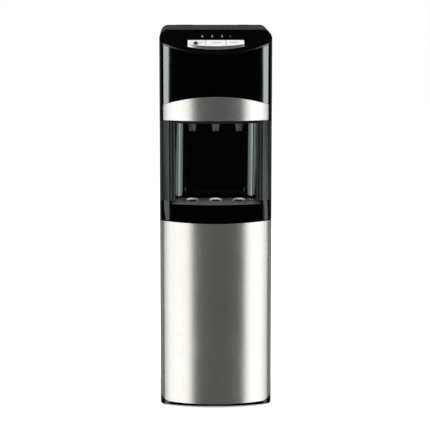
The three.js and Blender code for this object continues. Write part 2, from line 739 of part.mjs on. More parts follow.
function makeHotTank() {
  const { x, y } = HOT_TANK;
  const shell = turned([
    [0, 620], [40, 620], [48, 630], [48, 750], [40, 760], [5, 760], [5, 757], [38, 757],
    [45, 749], [45, 631], [38, 623], [0, 623],
  ], [x, y, 0], [0, 0, 1], 20);
  const legs = [[35, 20], [-35, 20], [0, -36]].map(([dx, dy]) => (
    rod(4, 92, [x + dx, y + dy, SHELF_LOW + WALL + GAP], [0, 0, 1], 10)
  ));
  const drain = rod(6, 61.7, [x, y + 46.5, DRAIN_Z], [0, 1, 0], 12);
  const rooms = turned([
    [0, 624], [38, 624], [44.8, 632], [44.8, 748], [38, 756], [0, 756],
  ], [x, y, 0], [0, 0, 1], 20);
  return union([shell, ...legs.map((leg) => leg.subtract(rooms)), drain]);
}

function makeDrainCap() {
  const radius = 8.4;
  const [x, y, z] = [HOT_TANK.x, 176.5, DRAIN_Z];
  const ribs = Array.from({ length: 10 }, (_, i) => {
    const angle = (i / 10) * 2 * Math.PI;
    return rod(1.2, 3.2, [x + radius * Math.cos(angle), y, z + radius * Math.sin(angle)], [0, 1, 0], 6);
  });
  const cup = turned([
    [0, 3.2], [radius, 3.2], [radius, 0], [6.5, 0], [6.5, 2], [0, 2],
  ], [x, y, z], [0, 1, 0], 18);
  return union([cup, ...ribs]);
}

function makeColdTank() {
  return turned([
    [0, 815], [50, 815], [58, 822], [58, 958], [50, 966], [5, 966], [5, 963], [49, 963],
    [55, 957], [55, 823], [49, 818], [0, 818],
  ], [COLD_TANK.x, COLD_TANK.y, 0], [0, 0, 1], 20);
}

function makeInsulation() {
  const jacket = turned([
    [0, 801.4], [82, 801.4], [84, 804], [84, 985], [67.5, 985], [67.5, 814.6], [0, 814.6],
  ], [COLD_TANK.x, COLD_TANK.y, 0], [0, 0, 1], 24);
  return jacket.subtract(rod(5.4, 40, [COLD_TANK.x, -20, 828], [0, 1, 0]));
}

class Helix extends THREE.Curve {
  getPoint(t) {
    const rise = 19.2;
    const turns = 5;
    const radius = 63;
    const angle = turns * 2 * Math.PI * t;
    const z = 845 + turns * rise * t;
    return new THREE.Vector3(
      COLD_TANK.x + radius * Math.cos(angle),
      COLD_TANK.y + radius * Math.sin(angle),
      z,
    );
  }
}

function makeEvaporator() {
  const coil = tube(new Helix(), 2.8, 5, 80);
  const riser = rod(2.8, 54, [COLD_TANK.x + 63, COLD_TANK.y, 940], [0, 0, 1], 6);
  const capillary = tube([
    [-140, 163, 690.4], [-138, 160, 730], [-122, 151, 780], [-120, 150, 810], [-118, 130, 950],
    [-100, 100, 1000], [-70, 78, 1000], [-63, 72, 985], [-63, 72, 931.4],
  ], 1.5, 5, 26);
  return union([coil, riser, capillary]);
}

function makePump() {
  const body = box([-115, -62], [-28, 12], [SHELF_LOW + WALL + GAP, 577]);
  const motor = rod(16, 36, [-62.5, -8, 559], [1, 0, 0], 20);
  return body.add(motor);
}

function makeElectrics() {
  const rockers = [105, 133].map((x) => box([x - 7.2, x + 7.2], [160, 180], [939.4, 960.6]));
  return without(box([90, 150], [90, 174.4], [885, 990]), rockers);
}

function makeRockers() {
  const outline = [[165, 944], [177.4, 941.2], [176.2, 950], [177.4, 958.8], [165, 956]];
  return [['hot', 105, redPlastic], ['cold', 133, greenPlastic]].map(([name, x, material]) => (
    [`rocker_${name}`, side(outline, x - 6.6, x + 6.6), material]
  ));
}

function makeProbe() {
  return turned([
    [0, 22], [5, 24], [7, 40], [7, 470], [24, 470], [24, 486], [8, 490], [0, 490],
  ], [PROBE.x, PROBE.y, 0]);
}

function makeProbeHolder() {
  const cup = turned([
    [0, 14.6], [13, 14.6], [13, 80], [7.4, 80], [7.4, 21], [0, 21],
  ], [PROBE.x, PROBE.y, 0]);
  const arm = box([PROBE.x + 12, 148.2], [PROBE.y - 5, PROBE.y + 5], [30, 70]);
  return cup.add(arm);
}

function makeTubes() {
  const shelf = SHELF_LOW + WALL;
  return [
    ['supply_hose', tube([
      [122, 118, 490.3], [122, 118, 520], [122, 118, shelf + 4], [124, 130, 566], [100, 152, 585],
      [20, 158, 588], [-100, 156, 588], [-138, 130, 585], [-138, 20, 570], [-130, -8, 560], [-115.3, -8, 560],
    ], 4, 6, 46), hoseWhite],
    ['delivery_tube', tube([
      [-88, -8, 577.3], [-88, -8, 600], [-98, -2, 680], [-95, 5, 780], [-95, 5, 815], [-100, 20, 900],
      [-90, 50, 995], [-40, 70, 1003], [0, 72, 990], [0, 72, 966.3],
    ], 4, 6, 40), hoseWhite],
    ['cold_tap_tube', tube([
      [65, TAP_Y, 806.3], [65, TAP_Y, 820], [50, -80, 832], [8, -45, 830], [0, -30, 828], [0, 13.4, 828],
    ], 4, 6, 20), hoseWhite],
    ['hot_tap_tube', tube([
      [-85, 70, 760.3], [-85, 68, 772], [-85, 40, 784], [-75, -10, 786], [-66, -25, 800], [-65, -60, 822],
      [-65, -100, 826], [-65, TAP_Y, 818], [-65, TAP_Y, 806.4],
    ], 4, 6, 26), hoseWhite],
    ['room_tap_tube', tube([
      [0, TAP_Y, 806.3], [0, TAP_Y, 818], [-10, -90, 836], [-40, -50, 848], [-92.6, 4.4, 852],
    ], 4, 6, 18), hoseWhite],
    ['discharge_tube', tube([
      [102, 84, 620], [118, 90, 622], [138, 110, 600], [138, 150, 575], [135, 163, 556], [135, 163, 530],
      [135, 165, 519.4],
    ], 2.6, 6, 20), copper],
    ['suction_tube', tube([
      [63, 72, 994.4], [63, 72, 1000], [68, 60, 1006], [90, 30, 990], [98, 20, 950], [98, 20, 800],
      [90, 36, 745], [60, 64, 728], [48, 70, 710], [48, 70, 682.4],
    ], 3.2, 6, 34), copper],
  ];
}

function makeFilterDrier() {
  return turned([
    [0, 520.4], [2.6, 520.4], [2.6, 580], [9, 592], [9, 675], [2.6, 684], [2.6, 690], [0, 690],
  ], [-140, 163, 0], [0, 0, 1], 16);
}

// ---- assembly --------------------------------------------------------------

const subparts = [
  ['base_plate', makeBase(), satinBlack],
  ...makeFeet(),
  ['side_panel_left', makeSidePanel(-1), paintedSteel],
  ['side_panel_right', makeSidePanel(1), paintedSteel],
  ['rear_panel_lower', makeLowerRearPanel(), galvanised],
  ['rear_panel_upper', makeUpperRearPanel(), paintedSteel],
  ['condenser', makeCondenser(), paintedSteel],
  ['bottle_bay', makeBay(), greyPlastic],
  ['lower_shelf', makeLowerShelf(), galvanised],
  ['upper_shelf', makeUpperShelf(), galvanised],
  ['top_cover', makeCover(), satinBlack],
  ...makeKeys(),
  ['child_lock_button', makeLockButton(), redPlastic],
  ...makeLenses(),
  ['control_board', makeBoard(), circuitGreen],
  ...makeSwitches(),
  ['upper_front_panel', makeFascia(), glossBlack],
  ['steel_band', makeBand(), brushedSteel],
  ['niche_surround', makeSurround(), glossBlack],
  ['niche_liner', makeLiner(), satinBlack],
  ...makeTaps(),
  ['lower_collar', makeCollar(), glossBlack],
  ['drip_tray', makeTray(), glossBlack],
  ['drip_grille', makeGrille(), greyPlastic],
  ['door_skin', makeDoorSkin(), brushedSteel],
  ['door_frame', makeDoorFrame(), glossBlack],
  ['hinge_bracket_lower', makeLowerHinge(), galvanised],
  ['hinge_bracket_upper', makeUpperHinge(), galvanised],
  ['door_catch', box([143, 152.5], [CABINET - 2.6, CABINET - GAP], [300, 340]), satinBlack],
  ['compressor', makeCompressor(), paintedSteel],
  ['filter_drier', makeFilterDrier(), copper],
  ['hot_tank', makeHotTank(), brushedSteel],
  ['drain_cap', makeDrainCap(), satinBlack],
  ['cold_tank', makeColdTank(), brushedSteel],
  ['tank_insulation', makeInsulation(), foam],
  ['evaporator_coil', makeEvaporator(), copper],
  ['water_pump', makePump(), satinBlack],
  ['electrics_box', makeElectrics(), satinBlack],
  ...makeRockers(),
  ['bottle_probe', makeProbe(), hoseWhite],
  ['probe_holder', makeProbeHolder(), satinBlack],
  ...makeTubes(),
];

const dispenser = new THREE.Group();
dispenser.name = 'water_dispenser';
for (const [name, solid, material] of subparts) {
  const { vertProperties, triVerts } = solid.getMesh();
  const geometry = new THREE.BufferGeometry();
  geometry.setAttribute('position', new THREE.BufferAttribute(vertProperties, 3));
  geometry.setIndex(new THREE.BufferAttribute(triVerts, 1));
  geometry.computeVertexNormals();
  const mesh = new THREE.Mesh(geometry, material());
  mesh.name = name;
  dispenser.add(mesh);
}

export default dispenser;
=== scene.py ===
"""The looks of a floor-standing water dispenser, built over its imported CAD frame.

The frame is in metres with Z up and the front towards -Y. Sizes below are in
millimetres, as in the CAD source, and each mesh is scaled as it is made.
"""

import json
from math import atan, atan2, cos, pi, radians, sin, sqrt

import bmesh
import bpy
from mathutils import Matrix, Vector

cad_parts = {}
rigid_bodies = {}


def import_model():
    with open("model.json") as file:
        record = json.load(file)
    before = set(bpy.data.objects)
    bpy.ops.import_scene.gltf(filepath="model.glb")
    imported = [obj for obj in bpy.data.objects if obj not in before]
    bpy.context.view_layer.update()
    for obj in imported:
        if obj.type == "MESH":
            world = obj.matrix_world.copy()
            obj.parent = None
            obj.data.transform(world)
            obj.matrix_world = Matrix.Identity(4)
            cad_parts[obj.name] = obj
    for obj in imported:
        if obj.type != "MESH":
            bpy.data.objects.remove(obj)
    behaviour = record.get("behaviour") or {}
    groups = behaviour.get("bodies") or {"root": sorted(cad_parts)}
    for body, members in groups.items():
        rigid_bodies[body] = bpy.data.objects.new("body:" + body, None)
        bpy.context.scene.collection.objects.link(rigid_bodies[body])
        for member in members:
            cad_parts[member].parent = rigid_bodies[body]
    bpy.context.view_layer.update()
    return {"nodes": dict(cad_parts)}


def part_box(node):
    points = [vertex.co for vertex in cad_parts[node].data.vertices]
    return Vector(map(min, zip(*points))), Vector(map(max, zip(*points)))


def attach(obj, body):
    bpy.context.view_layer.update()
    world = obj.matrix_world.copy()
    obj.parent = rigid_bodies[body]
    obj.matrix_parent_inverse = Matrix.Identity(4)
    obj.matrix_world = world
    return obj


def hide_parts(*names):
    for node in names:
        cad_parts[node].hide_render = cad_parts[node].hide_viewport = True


for leftover in list(bpy.data.objects):
    bpy.data.objects.remove(leftover)

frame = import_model()

MM = 0.001

# ---- sizes shared with the CAD source ---------------------------------------

GAP = 0.3
HALF_WIDTH = 155
FRONT = -180
FRONT_RADIUS = 300
CORNER_RADIUS = 22
FRONT_CENTRE = FRONT + FRONT_RADIUS
CORNER_X = HALF_WIDTH - CORNER_RADIUS
CORNER_Y = FRONT_CENTRE - sqrt((FRONT_RADIUS - CORNER_RADIUS) ** 2 - CORNER_X ** 2)
CORNER_MEET = atan2(CORNER_Y - FRONT_CENTRE, CORNER_X)
CABINET = -97
WALL = 3
SKIN = 1

DECK_Z = 990
DECK_SLOPE = 0.7
DECK_THICK = 4
COVER_SKIRT = 1022
LENS_UP = 74.5

BAND_BOTTOM = 805.1
BAND_TOP = 872.1
BAND_SAG = 20.2
BAND_SAG_X = 132.6
BAND_HALF = 145.5
FASCIA_BOTTOM = 803.3

TRAY_TOP = 573.7
TRAY_HALF = 124
DRAIN_Y = -101
DRAINS = [(-65, DRAIN_Y, 15), (0, DRAIN_Y, 15), (65, DRAIN_Y, 15), (97, -96, 6.5)]
TAP_SPACING = 65
TAP_Y = -110
TAP_MOUTH = 4
TAP_NAMES = ("hot", "room", "cold")

DOOR_TOP = 521.3
DOOR_BOTTOM = 9.5
DOOR_SLOPE = 0.1
DOOR_SKIN_BACK = -103
DOOR_CORNER = 27
DOOR_SAG = 1e-4
GRIP_LOW = (145.5, -112, 380)
GRIP_HIGH = (160, -90, 480)

KEY_HALF = 77.5
KEY_SPLIT = 27.5
KEY_INSET = 14
KEY_BACK = -132
KEY_TOP_BACK = 1024
KEY_SLOPE = 0.466
KEY_SPANS = {
    "hot": (-KEY_HALF, -KEY_SPLIT),
    "room": (-KEY_SPLIT, KEY_SPLIT),
    "cold": (KEY_SPLIT, KEY_HALF),
}
LOCK_X = -55
LOCK_Y = -152
LOCK_RADIUS = 6
LOCK_HOLE = 6.5
LOCK_DEPTH = 10
LOCK_STAND = 1

CONDENSER_Y = 165
REAR_FLANGE = 178

# ---- mesh building ----------------------------------------------------------


def mesh_object(name, points, faces):
    """A new object from points in millimetres."""
    mesh = bpy.data.meshes.new(name)
    mesh.from_pydata([Vector(point) * MM for point in points], [], faces)
    work = bmesh.new()
    work.from_mesh(mesh)
    bmesh.ops.recalc_face_normals(work, faces=work.faces)
    work.to_mesh(mesh)
    work.free()
    mesh.shade_smooth()
    piece = bpy.data.objects.new(name, mesh)
    bpy.context.scene.collection.objects.link(piece)
    return piece


def front_path(back, limit=None):
    """(x, y, normal x, normal y) round the bowed front, from the right side to the left."""
    right = []
    for step in range(17):
        angle = CORNER_MEET * step / 16
        right.append((CORNER_X, CORNER_Y, CORNER_RADIUS, angle))
    for step in range(1, 41):
        angle = CORNER_MEET + (-pi / 2 - CORNER_MEET) * step / 40
        right.append((0, FRONT_CENTRE, FRONT_RADIUS, angle))
    half = [(cx + r * cos(a), cy + r * sin(a), cos(a), sin(a)) for cx, cy, r, a in right]
    if limit is None:
        half.insert(0, (HALF_WIDTH, back, 1, 0))
    else:
        half = [on_front(limit)] + [point for point in half if point[0] < limit - 0.2]
    left = [(-x, y, -nx, ny) for x, y, nx, ny in reversed(half[:-1])]
    return half + left


def on_front(x):
    """The point of the front outline at x, with its normal."""
    tangent = CORNER_X * FRONT_RADIUS / (FRONT_RADIUS - CORNER_RADIUS)
    if abs(x) > tangent:
        cx, cy, radius = CORNER_X, CORNER_Y, CORNER_RADIUS
    else:
        cx, cy, radius = 0, FRONT_CENTRE, FRONT_RADIUS
    nx = (abs(x) - cx) / radius
    ny = -sqrt(1 - nx * nx)
    return x, cy + radius * ny, nx if x >= 0 else -nx, ny


def swept(name, path, section):
    """A wall that follows a path. section(x, y) gives its outline as (inset, z)."""
    points = []
    for x, y, nx, ny in path:
        points += [(x - inset * nx, y - inset * ny, z) for inset, z in section(x, y)]
    count = len(section(path[0][0], path[0][1]))
    faces = []
    for ring in range(len(path) - 1):
        for side in range(count):
            a = ring * count + side
            b = ring * count + (side + 1) % count
            faces.append((a, b, b + count, a + count))
    faces.append(tuple(range(count)))
    faces.append(tuple(range(len(points) - count, len(points))))
    return mesh_object(name, points, faces)


def prism(name, outline, z0, z1):
    """An outline of (x, y) pushed up from z0 to z1."""
    count = len(outline)
    points = [(x, y, z0) for x, y in outline] + [(x, y, z1) for x, y in outline]
    faces = [tuple(range(count)), tuple(range(count, 2 * count))]
    for i in range(count):
        j = (i + 1) % count
        faces.append((i, j, j + count, i + count))
    return mesh_object(name, points, faces)


def turned(name, profile, at=(0, 0, 0), axis=(0, 0, 1), segments=64):
    """A closed profile of (radius, height), turned about an axis through a point."""
    turn = Vector((0, 0, 1)).rotation_difference(Vector(axis)).to_matrix()
    points = []
    for i in range(segments):
        angle = 2 * pi * i / segments
        points += [turn @ Vector((r * cos(angle), r * sin(angle), h)) + Vector(at) for r, h in profile]
    count = len(profile)
    faces = []
    for i in range(segments):
        for j in range(count):
            a = i * count + j
            b = i * count + (j + 1) % count
            c = (i + 1) % segments * count
            faces.append((a, b, c + (j + 1) % count, c + j))
    piece = mesh_object(name, points, faces)
    work = bmesh.new()
    work.from_mesh(piece.data)
    bmesh.ops.remove_doubles(work, verts=work.verts, dist=1e-7)
    bmesh.ops.dissolve_degenerate(work, edges=work.edges, dist=1e-7)
    bmesh.ops.recalc_face_normals(work, faces=work.faces)
    work.to_mesh(piece.data)
    work.free()
    piece.data.shade_smooth()
    return piece


def block(name, low, high):
    """A plain block between two corners, for cutting and for small square parts."""
    (x0, y0, z0), (x1, y1, z1) = low, high
    return prism(name, [(x0, y0), (x1, y0), (x1, y1), (x0, y1)], z0, z1)


def wires(name, lines, radius):
    """Round wires along lists of points in millimetres, as one curve object."""
    curve = bpy.data.curves.new(name, "CURVE")
    curve.dimensions = "3D"
    curve.bevel_depth = radius * MM
    curve.bevel_resolution = 3
    curve.use_fill_caps = True
    for line in lines:
        spline = curve.splines.new("POLY")
        spline.points.add(len(line) - 1)
        for point, place in zip(spline.points, line):
            point.co = (*(Vector(place) * MM), 1)
    piece = bpy.data.objects.new(name, curve)
    bpy.context.scene.collection.objects.link(piece)
    return piece


def carve(piece, cutter):
    """Cuts one mesh out of another and drops the cutter."""
    change = piece.modifiers.new("carve", "BOOLEAN")
    change.object = cutter
    change.operation = "DIFFERENCE"
    change.solver = "EXACT"
    bpy.context.view_layer.update()
    graph = bpy.context.evaluated_depsgraph_get()
    mesh = bpy.data.meshes.new_from_object(piece.evaluated_get(graph))
    piece.modifiers.clear()
    piece.data = mesh
    piece.data.shade_smooth()
    bpy.data.objects.remove(cutter)


def soften(piece, width, segments=2, weld=False):
    """Rounds the sharp edges by a width in millimetres and keeps the flats flat."""
    if weld:
        piece.modifiers.new("weld", "WELD").merge_threshold = 1e-6
    bevel = piece.modifiers.new("edges", "BEVEL")
    bevel.width = width * MM
    bevel.segments = segments
    bevel.limit_method = "ANGLE"
    bevel.angle_limit = radians(32)
    bevel.harden_normals = False
    shading = piece.modifiers.new("shading", "WEIGHTED_NORMAL")
    shading.weight = 100
    shading.keep_sharp = False


# ---- materials --------------------------------------------------------------


def add(tree, kind, inputs=None, **settings):
    """A shader node with its input values and settings."""
    made = tree.nodes.new(kind)
    for name, value in settings.items():
        setattr(made, name, value)
    for name, value in (inputs or {}).items():
        made.inputs[name].default_value = value
    return made


def ramp(tree, factor, stops):
    """A colour ramp through (position, colour) stops."""
    made = add(tree, "ShaderNodeValToRGB")
    band = made.color_ramp
    band.elements[0].position, band.elements[0].color = stops[0]
    band.elements[1].position, band.elements[1].color = stops[-1]
    for position, colour in stops[1:-1]:
        band.elements.new(position).color = colour
    tree.links.new(factor, made.inputs["Fac"])
    return made.outputs["Color"]


def grey(value):
    """A neutral colour."""
    return value, value, value, 1


def surface(name, dark, light, roughness, grain, bump, stretch=(1, 1, 1), wear=None, **shader):
    """A finish whose colour, roughness and bump follow a fine grain over a broad one.

    grain is the number of grains per metre and wear the colour of rubbed edges.
    """
    material = bpy.data.materials.new(name)
    material.use_nodes = True
    tree = material.node_tree
    link = tree.links.new
    face = tree.nodes["Principled BSDF"]
    for socket, value in shader.items():
        face.inputs[socket.replace("_", " ")].default_value = value

    where = add(tree, "ShaderNodeTexCoord")
    place = add(tree, "ShaderNodeMapping", {"Scale": stretch})
    link(where.outputs["Object"], place.inputs["Vector"])
    fine = add(tree, "ShaderNodeTexNoise", {"Scale": grain, "Detail": 3.0, "Roughness": 0.6})
    broad = add(tree, "ShaderNodeTexNoise", {"Scale": 9.0, "Detail": 2.0})
    link(place.outputs["Vector"], fine.inputs["Vector"])
    link(where.outputs["Object"], broad.inputs["Vector"])

    both = add(tree, "ShaderNodeMix", {"Factor": 0.35}, data_type="FLOAT")
    link(fine.outputs["Fac"], both.inputs["A"])
    link(broad.outputs["Fac"], both.inputs["B"])
    colour = ramp(tree, both.outputs["Result"], [(0.35, dark), (0.65, light)])
    if wear:
        shape = add(tree, "ShaderNodeNewGeometry")
        edge = ramp(tree, shape.outputs["Pointiness"], [(0.52, grey(0)), (0.62, grey(0.5))])
        rubbed = add(tree, "ShaderNodeMix", {"B": wear}, data_type="RGBA")
        link(edge, rubbed.inputs["Factor"])
        link(colour, rubbed.inputs["A"])
        colour = rubbed.outputs["Result"]
    link(colour, face.inputs["Base Color"])

    gloss = add(tree, "ShaderNodeMapRange", {
        "From Min": 0.3, "From Max": 0.7, "To Min": roughness[0], "To Max": roughness[1],
    })
    link(both.outputs["Result"], gloss.inputs["Value"])
    link(gloss.outputs["Result"], face.inputs["Roughness"])

    relief = add(tree, "ShaderNodeBump", {"Strength": bump, "Distance": 0.0002})
    link(fine.outputs["Fac"], relief.inputs["Height"])
    link(relief.outputs["Normal"], face.inputs["Normal"])
    return material


def circuit_board():
    """Green solder mask with rows of lighter pads."""
    material = surface("board", (0.01, 0.09, 0.03, 1), (0.02, 0.16, 0.06, 1), (0.3, 0.5), 900, 0.1)
    tree = material.node_tree
    face = tree.nodes["Principled BSDF"]
    base = face.inputs["Base Color"].links[0].from_socket
    where = add(tree, "ShaderNodeTexCoord")
    cells = add(tree, "ShaderNodeTexVoronoi", {"Scale": 160.0, "Randomness": 0.2})
    tree.links.new(where.outputs["Object"], cells.inputs["Vector"])
    spot = ramp(tree, cells.outputs["Distance"], [(0.16, grey(1)), (0.2, grey(0))])
    pads = add(tree, "ShaderNodeMix", {"B": (0.6, 0.58, 0.5, 1)}, data_type="RGBA")
    tree.links.new(spot, pads.inputs["Factor"])
    tree.links.new(base, pads.inputs["A"])
    tree.links.new(pads.outputs["Result"], face.inputs["Base Color"])
    return material


def galvanised():
    """Zinc coating with its flat, many-sided spangle."""
    material = surface("zinc", grey(0.35), grey(0.5), (0.35, 0.55), 400, 0.05, Metallic=1.0)
    tree = material.node_tree
    face = tree.nodes["Principled BSDF"]
    base = face.inputs["Base Color"].links[0].from_socket
    where = add(tree, "ShaderNodeTexCoord")
    cells = add(tree, "ShaderNodeTexVoronoi", {"Scale": 110.0})
    tree.links.new(where.outputs["Object"], cells.inputs["Vector"])
    shade = ramp(tree, cells.outputs["Color"], [(0.0, grey(0.3)), (1.0, grey(0.62))])
    spangle = add(tree, "ShaderNodeMix", {"Factor": 0.5}, data_type="RGBA")
    tree.links.new(base, spangle.inputs["A"])
    tree.links.new(shade, spangle.inputs["B"])
    tree.links.new(spangle.outputs["Result"], face.inputs["Base Color"])
    return material


def rim_painted_highlight():
    """Grey like the grille at its foot, with a painted highlight that turns it nearly white where the
    splash rim stands high.
    """
    material = surface("rim", grey(0.13), grey(0.17), (0.3, 0.4), 1300, 0.06)
    tree = material.node_tree
    face = tree.nodes["Principled BSDF"]
    base = face.inputs["Base Color"].links[0].from_socket
    where = add(tree, "ShaderNodeTexCoord")
    split = add(tree, "ShaderNodeSeparateXYZ")
    tree.links.new(where.outputs["Object"], split.inputs["Vector"])
    low, high = (TRAY_TOP + 1.5) * MM, (TRAY_TOP + 4) * MM
    rise = add(tree, "ShaderNodeMapRange", {"From Min": low, "From Max": high})
    tree.links.new(split.outputs["Z"], rise.inputs["Value"])
    # painted highlight: nearly white towards the top of the rim
    painted_highlight = add(tree, "ShaderNodeMix", {"B": grey(0.75)}, data_type="RGBA")
    tree.links.new(rise.outputs["Result"], painted_highlight.inputs["Factor"])
    tree.links.new(base, painted_highlight.inputs["A"])
    tree.links.new(painted_highlight.outputs["Result"], face.inputs["Base Color"])
    return material


BRUSHED = (1.5, 1.5, 60)
FINISHES = {
    "stainless_steel": surface(
        "brushed steel", (0.565, 0.555, 0.53, 1), (0.675, 0.665, 0.635, 1), (0.18, 0.27), 40, 0.05,
        BRUSHED, Metallic=1.0,
    ),
    "gloss_black_plastic": surface(
        "gloss black", grey(0.0001), grey(0.0003), (0.05, 0.09), 60, 0.008, IOR=1.35,
    ),
    "satin_black_plastic": surface(
        "satin black", grey(0.0008), grey(0.0018), (0.22, 0.3), 1500, 0.04,
        wear=grey(0.004), IOR=1.35,
    ),
    "black_plastic": surface(
        "black moulding", grey(0.006), grey(0.012), (0.4, 0.55), 1200, 0.1, wear=grey(0.04),
    ),
    "grey_plastic": surface(
        "grey moulding", grey(0.13), grey(0.17), (0.36, 0.46), 1300, 0.1, wear=grey(0.3),
    ),
    "silver_plastic": surface(
        "satin chrome", (0.62, 0.63, 0.64, 1), (0.74, 0.75, 0.76, 1), (0.14, 0.2), 2500, 0.02,
        wear=grey(0.85), Metallic=1.0,
    ),
    "red_plastic": surface(
        "red plastic", (0.075, 0.002, 0.006, 1), (0.11, 0.004, 0.009, 1), (0.22, 0.32), 900, 0.04,
        wear=(0.2, 0.02, 0.03, 1),
    ),
    "green_plastic": surface(
        "green plastic", (0.01, 0.2, 0.04, 1), (0.02, 0.3, 0.07, 1), (0.2, 0.3), 900, 0.04,
        wear=(0.2, 0.5, 0.25, 1),
    ),
    "clear_plastic": surface(
        "lens", (0.26, 0.28, 0.29, 1), (0.34, 0.36, 0.37, 1), (0.12, 0.2), 900, 0.02,
    ),
    "white_plastic": surface(
        "milky hose", (0.72, 0.74, 0.75, 1), (0.82, 0.83, 0.84, 1), (0.3, 0.42), 700, 0.04,
    ),
    "circuit_board": circuit_board(),
    "foam": surface(
        "foam", (0.7, 0.68, 0.6, 1), (0.84, 0.82, 0.75, 1), (0.8, 0.95), 500, 0.6,
    ),
    "rubber": surface(
        "rubber", grey(0.008), grey(0.016), (0.7, 0.9), 1400, 0.25, wear=grey(0.05),
    ),
    "painted_steel": surface(
        "black paint", grey(0.006), grey(0.01), (0.28, 0.38), 700, 0.1, wear=grey(0.05),
    ),
    "galvanised_steel": galvanised(),
    "copper": surface(
        "copper", (0.5, 0.2, 0.1, 1), (0.75, 0.36, 0.22, 1), (0.22, 0.4), 300, 0.05, Metallic=1.0,
    ),
}
COLUMN_GREY = surface(
    "column grey", (0.006, 0.0075, 0.007, 1), (0.009, 0.0105, 0.01, 1), (0.16, 0.24), 1400, 0.04,
    wear=grey(0.05),
)
LINER_BLACK = surface(
    "niche gloss", grey(0.0018), grey(0.0026), (0.05, 0.09), 60, 0.008, IOR=1.35,
)
TAP_GREY = surface(
    "tap grey", grey(0.045), grey(0.065), (0.3, 0.4), 1400, 0.06, wear=grey(0.1),
)
# Painted highlight on the far, high side of each drain rim.
RIM_PAINTED_HIGHLIGHT = rim_painted_highlight()
# Painted reflection: near white, it stands for the silver key tops catching light from above.
KEY_TOP_PAINTED_REFLECTION = surface(
    "label", grey(0.72), grey(0.82), (0.3, 0.4), 2500, 0.03,
)
PRINT_GREY = surface("grey print", grey(0.16), grey(0.22), (0.4, 0.5), 2500, 0.05)
SCREW_STEEL = surface(
    "screw zinc", grey(0.42), grey(0.55), (0.25, 0.4), 900, 0.08, wear=grey(0.8), Metallic=1.0,
)


def dress(piece, body, slot, material=None, stands_for=()):
    """Gives a new piece its finish, its body and the CAD nodes that it stands for."""
    piece.data.materials.clear()
    piece.data.materials.append(material or FINISHES[slot])
    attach(piece, body)
    if stands_for:
        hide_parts(*stands_for)
    return piece


# ---- CAD nodes that stay ----------------------------------------------------

EDGE_WIDTHS = {
    "top_cover": 0.4,
    "key_hot": 1.2,
    "key_room": 1.2,
    "key_cold": 1.2,
    "lower_collar": 0.5,
    "drip_tray": 0.5,
    "niche_surround": 0.6,
    "niche_liner": 0.4,
    "door_frame": 0.5,
    "rocker_hot": 0.6,
    "rocker_cold": 0.6,
}
PLAIN_EDGE = 0.3


def finish_cad_nodes():
    """Gives every CAD node its material and its small edge radius."""
    for name, node in frame["nodes"].items():
        for holder in node.material_slots:
            holder.material = FINISHES[holder.material.name.split(".")[0]]
        node.data.shade_smooth()
        soften(node, EDGE_WIDTHS.get(name, PLAIN_EDGE), weld=True)
    frame["nodes"]["niche_surround"].material_slots[0].material = COLUMN_GREY
    frame["nodes"]["niche_liner"].material_slots[0].material = LINER_BLACK


# ---- steel door skin and band -----------------------------------------------


def door_bottom(x):
    past = max(0, abs(x) - (HALF_WIDTH - DOOR_CORNER))
    corner = DOOR_CORNER - sqrt(max(0, DOOR_CORNER ** 2 - past ** 2))
    return DOOR_BOTTOM + DOOR_SAG * x * x + corner


def door_top(y):
    return DOOR_TOP + DOOR_SLOPE * (y - FRONT)


def make_door_skin():
    skin = swept("steel_door_skin", front_path(DOOR_SKIN_BACK), lambda x, y: [
        (0, door_bottom(x)), (0, door_top(y)), (SKIN, door_top(y)), (SKIN, door_bottom(x)),
    ])
    carve(skin, block("grip_cut", GRIP_LOW, GRIP_HIGH))
    soften(skin, 0.4)
    dress(skin, "door", "stainless_steel", stands_for=["door_skin"])


def band_top(x):
    return BAND_TOP - BAND_SAG * (x / BAND_SAG_X) ** 2


def make_band():
    band = swept("brushed_band", front_path(0, BAND_HALF), lambda x, y: [
        (0, BAND_BOTTOM), (0, band_top(x)), (SKIN, band_top(x)), (SKIN, BAND_BOTTOM),
    ])
    soften(band, 0.35)
    dress(band, "cabinet", "stainless_steel", stands_for=["steel_band"])


def deck_height(y):
    return DECK_Z + DECK_SLOPE * (y - FRONT)


def make_upper_panel():
    def top(y):
        return min(deck_height(y) - DECK_THICK, COVER_SKIRT) - GAP

    panel = swept("gloss_front_panel", front_path(CABINET - GAP), lambda x, y: [
        (0, FASCIA_BOTTOM), (0, top(y)), (WALL, top(y)), (WALL, FASCIA_BOTTOM),
    ])
    recess = swept("recess", front_path(0, BAND_HALF + GAP), lambda x, y: [
        (-2, BAND_BOTTOM - GAP), (-2, band_top(x) + GAP),
        (SKIN + GAP, band_top(x) + GAP), (SKIN + GAP, BAND_BOTTOM - GAP),
    ])
    carve(panel, recess)
    soften(panel, 0.4)
    dress(panel, "cabinet", "gloss_black_plastic", stands_for=["upper_front_panel"])


# ---- taps, grille and feet --------------------------------------------------


def make_taps():
    """Cone shaped spouts with a notch across the mouth."""
    profile = [
        (4, 772.5), (5, 771), (7.6, 771), (8.5, 771.9), (12.8, 797.9), (13, 799.2),
        (9, 799.2), (9, 806), (4, 806),
    ]
    for i, name in enumerate(TAP_NAMES):
        x = (i - 1) * TAP_SPACING
        tap = turned(f"spout_{name}", profile, (x, TAP_Y, 0))
        carve(tap, block("mouth", (x - TAP_MOUTH, TAP_Y - 20, 760), (x + TAP_MOUTH, TAP_Y, 778)))
        soften(tap, 0.3)
        dress(tap, "cabinet", "satin_black_plastic", TAP_GREY, stands_for=[f"tap_{name}"])


def grille_outline(half, inset, steps=48):
    """The bowed front edge from right to left, then the back that follows the niche."""
    bow = []
    for i in range(steps + 1):
        x = half - 2 * half * i / steps
        bow.append((x, FRONT_CENTRE - sqrt((FRONT_RADIUS - inset) ** 2 - x * x)))
    side = [(-118, -70), (-112, -50), (-102, -42), (102, -42), (112, -50), (118, -70)]
    return bow + side


